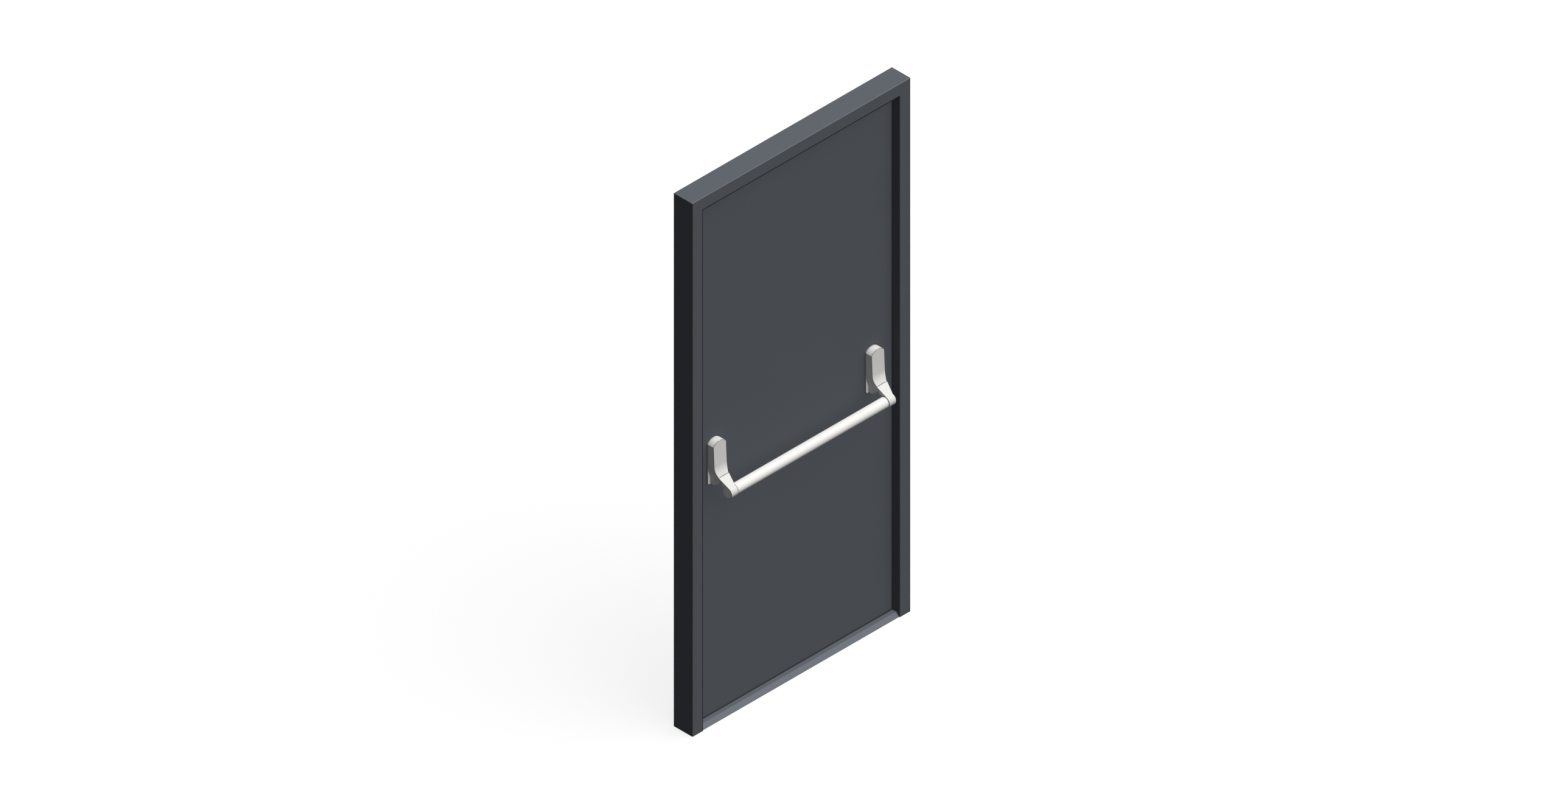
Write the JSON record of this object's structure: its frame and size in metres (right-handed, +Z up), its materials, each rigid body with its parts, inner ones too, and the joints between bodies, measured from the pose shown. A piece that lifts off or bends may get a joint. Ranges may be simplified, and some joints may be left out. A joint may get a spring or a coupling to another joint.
{
  "type": "fire exit door",
  "caption": "Plain steel fire exit door leaf in a rebated steel frame, with a ramped threshold and a push bar across the room side.",
  "frame": {"origin": "centre of the underside of the threshold", "axes": "+X to the right as seen from the room, +Y through the doorway from the room to the outside, +Z up"},
  "size_m": [1, 0.1629, 2.115],
  "materials": {
    "frame_paint": "dark grey matt powder coat",
    "leaf_paint": "dark grey matt powder coat",
    "core_board": "pressed mineral wool",
    "seal_rubber": "matt black",
    "hinge_steel": "dark grey matt powder coat",
    "lock_steel": "brushed",
    "gear_coat": "light silver grey satin coat",
    "bar_coat": "light silver grey satin coat"
  },
  "bodies": {
    "frame": {"left_jamb": "frame_paint", "right_jamb": "frame_paint", "head": "frame_paint", "threshold": "frame_paint", "left_seal": "seal_rubber", "right_seal": "seal_rubber", "head_seal": "seal_rubber", "threshold_seal": "seal_rubber", "strike_plate": "lock_steel", "lower_hinge_jamb_wing": "hinge_steel", "lower_hinge_pin": "hinge_steel", "middle_hinge_jamb_wing": "hinge_steel", "middle_hinge_pin": "hinge_steel", "upper_hinge_jamb_wing": "hinge_steel", "upper_hinge_pin": "hinge_steel"},
    "leaf": {"leaf_inner_skin": "leaf_paint", "leaf_outer_skin": "leaf_paint", "leaf_core": "core_board", "lock_forend": "lock_steel", "latch_bolt": "lock_steel", "left_base_plate": "gear_coat", "left_housing": "gear_coat", "left_pivot_pin": "lock_steel", "right_base_plate": "gear_coat", "right_housing": "gear_coat", "right_pivot_pin": "lock_steel", "lower_hinge_leaf_wing": "hinge_steel", "middle_hinge_leaf_wing": "hinge_steel", "upper_hinge_leaf_wing": "hinge_steel"},
    "push_bar": {"left_arm": "gear_coat", "right_arm": "gear_coat", "push_bar": "bar_coat"}
  },
  "joints": [
    {"name": "leaf_swing", "type": "hinge", "parent": "frame", "child": "leaf", "pos_m": [0.4625, 0.07525, 0], "axis": [0, 0, -1], "range_deg": [0, 110]},
    {"name": "bar_press", "type": "hinge", "parent": "leaf", "child": "push_bar", "pos_m": [0, -0.00705, 0.9646], "axis": [1, 0, 0], "range_deg": [0, 22], "stiffness_Nm_per_rad": 6, "springref_deg": -22.92}
  ]
}
